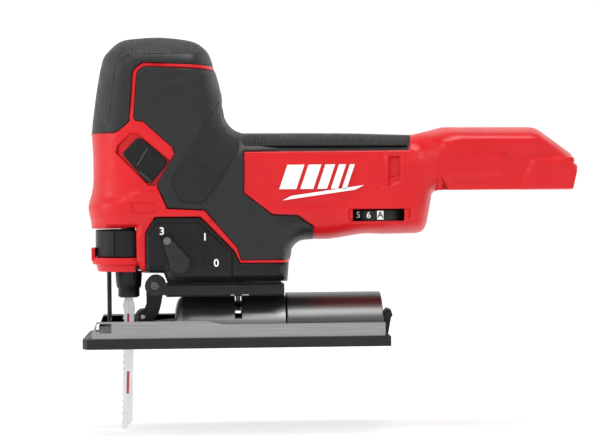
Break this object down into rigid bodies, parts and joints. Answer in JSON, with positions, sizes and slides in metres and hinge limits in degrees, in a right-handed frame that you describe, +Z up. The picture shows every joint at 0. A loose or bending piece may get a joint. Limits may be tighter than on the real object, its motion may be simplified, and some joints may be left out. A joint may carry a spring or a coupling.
{
  "type": "barrel-grip jigsaw",
  "caption": "Cordless barrel-grip jigsaw: tilting shoe with dust tube, sprung blade clamp, orbit lever, speed dial and side switch.",
  "frame": {"origin": "on the shoe's sole, in the middle plane, on the axis about which the shoe tilts and under its clamp bolt", "axes": "+X towards the rear of the tool, where the battery goes in; -X is the cutting direction; +Y to the operator's right as they look along the cut; +Z up, away from the work"},
  "size_m": [0.3062, 0.0792, 0.2452],
  "materials": {
    "red_plastic": "satin, softly glossy",
    "black_rubber": "matt, fine ribbed grip texture",
    "black_plastic": "satin",
    "silver_metal": "brushed",
    "dark_casting": "dark coated casting",
    "steel": "ground",
    "white_steel": "pale painted steel",
    "copper": "enamelled wire",
    "brass": "sintered bush",
    "green_board": "circuit board"
  },
  "bodies": {
    "housing": {"bevel_bolt": "steel", "bevel_clamp_plate": "dark_casting", "control_module": "green_board", "gear_bearing": "steel", "gear_case": "silver_metal", "gear_cover_left": "black_plastic", "gear_cover_right": "black_plastic", "head_cap_left": "black_rubber", "head_cap_right": "black_rubber", "housing_left": "red_plastic", "housing_right": "red_plastic", "housing_screw_1": "steel", "housing_screw_2": "steel", "housing_screw_3": "steel", "housing_screw_4": "steel", "housing_screw_5": "steel", "housing_screw_6": "steel", "main_grip_left": "black_rubber", "main_grip_right": "black_rubber", "motor_bearing_front": "steel", "motor_bearing_rear": "steel", "nose_guide": "dark_casting", "nose_ring": "red_plastic", "plunger_bush_lower": "brass", "plunger_bush_upper": "brass", "roller_arm_pin": "steel", "shoe_bracket": "dark_casting", "stator": "dark_casting", "stator_winding_front": "copper", "stator_winding_rear": "copper", "switch_module": "black_plastic", "terminal_block": "black_plastic", "wire_guard": "steel"},
    "shoe": {"shoe": "silver_metal", "tilt_barrel": "silver_metal", "dust_tube": "silver_metal", "shoe_cover": "black_plastic"},
    "plunger": {"plunger": "steel", "blade_clamp": "steel", "clamp_pin": "steel", "clamp_spring": "steel", "blade": "white_steel"},
    "clamp_collar": {"clamp_collar": "black_plastic"},
    "release_lever": {"release_lever": "black_plastic"},
    "drive_gear": {"drive_gear": "steel", "gear_shaft": "steel", "crank_pin": "steel"},
    "rotor": {"rotor_core": "steel", "motor_shaft": "steel", "motor_pinion": "steel", "cooling_fan": "black_plastic"},
    "orbit_lever": {"orbit_lever": "black_plastic", "orbit_cam_shaft": "steel"},
    "roller_arm": {"roller_arm": "black_plastic", "roller_pin": "steel"},
    "guide_roller": {"guide_roller": "steel"},
    "power_switch": {"switch_pad_left": "black_plastic", "switch_pad_right": "black_plastic", "switch_link": "black_plastic"},
    "speed_dial": {"speed_dial": "black_plastic"}
  },
  "joints": [
    {"name": "bevel_tilt", "type": "hinge", "parent": "housing", "child": "shoe", "pos_m": [0, 0, 0], "axis": [1, 0, 0], "range_deg": [-45, 45]},
    {"name": "blade_stroke", "type": "slide", "parent": "housing", "child": "plunger", "axis": [0, 0, 1], "range_m": [0, 0.0254]},
    {"name": "clamp_collar_turn", "type": "hinge", "parent": "plunger", "child": "clamp_collar", "pos_m": [-0.0686, 0, 0.038], "axis": [0, 0, 1], "range_deg": [0, 40], "stiffness_Nm_per_rad": 0.03, "springref_deg": -20.05},
    {"name": "release_lever_swing", "type": "hinge", "parent": "housing", "child": "release_lever", "pos_m": [-0.0686, 0, 0.06], "axis": [0, 0, -1], "range_deg": [0, 45], "stiffness_Nm_per_rad": 0.05, "springref_deg": -17.19},
    {"name": "gear_turn", "type": "hinge", "parent": "housing", "child": "drive_gear", "pos_m": [-0.048, 0, 0.073], "axis": [1, 0, 0], "continuous": true},
    {"name": "rotor_spin", "type": "hinge", "parent": "housing", "child": "rotor", "pos_m": [0, 0, 0.1006], "axis": [1, 0, 0], "continuous": true},
    {"name": "orbit_setting", "type": "hinge", "parent": "housing", "child": "orbit_lever", "pos_m": [-0.0358, 0, 0.0521], "axis": [0, 1, 0], "range_deg": [0, 117]},
    {"name": "roller_arm_swing", "type": "hinge", "parent": "housing", "child": "roller_arm", "pos_m": [-0.052, 0, 0.037], "axis": [0, -1, 0], "range_deg": [0, 6], "stiffness_Nm_per_rad": 0.3, "springref_deg": -2.86},
    {"name": "guide_roller_spin", "type": "hinge", "parent": "roller_arm", "child": "guide_roller", "pos_m": [-0.0599, 0, 0.0175], "axis": [0, 1, 0], "continuous": true},
    {"name": "power_switch_slide", "type": "slide", "parent": "housing", "child": "power_switch", "axis": [-0.7413, 0, 0.6712], "range_m": [0, 0.0044]},
    {"name": "speed_dial_turn", "type": "hinge", "parent": "housing", "child": "speed_dial", "pos_m": [0.088, -0.004, 0.0798], "axis": [0, 0, 1], "range_deg": [0, 126]}
  ],
  "couplings": [
    {"joint": "rotor_spin", "follows": "gear_turn", "ratio": -5.1111}
  ]
}
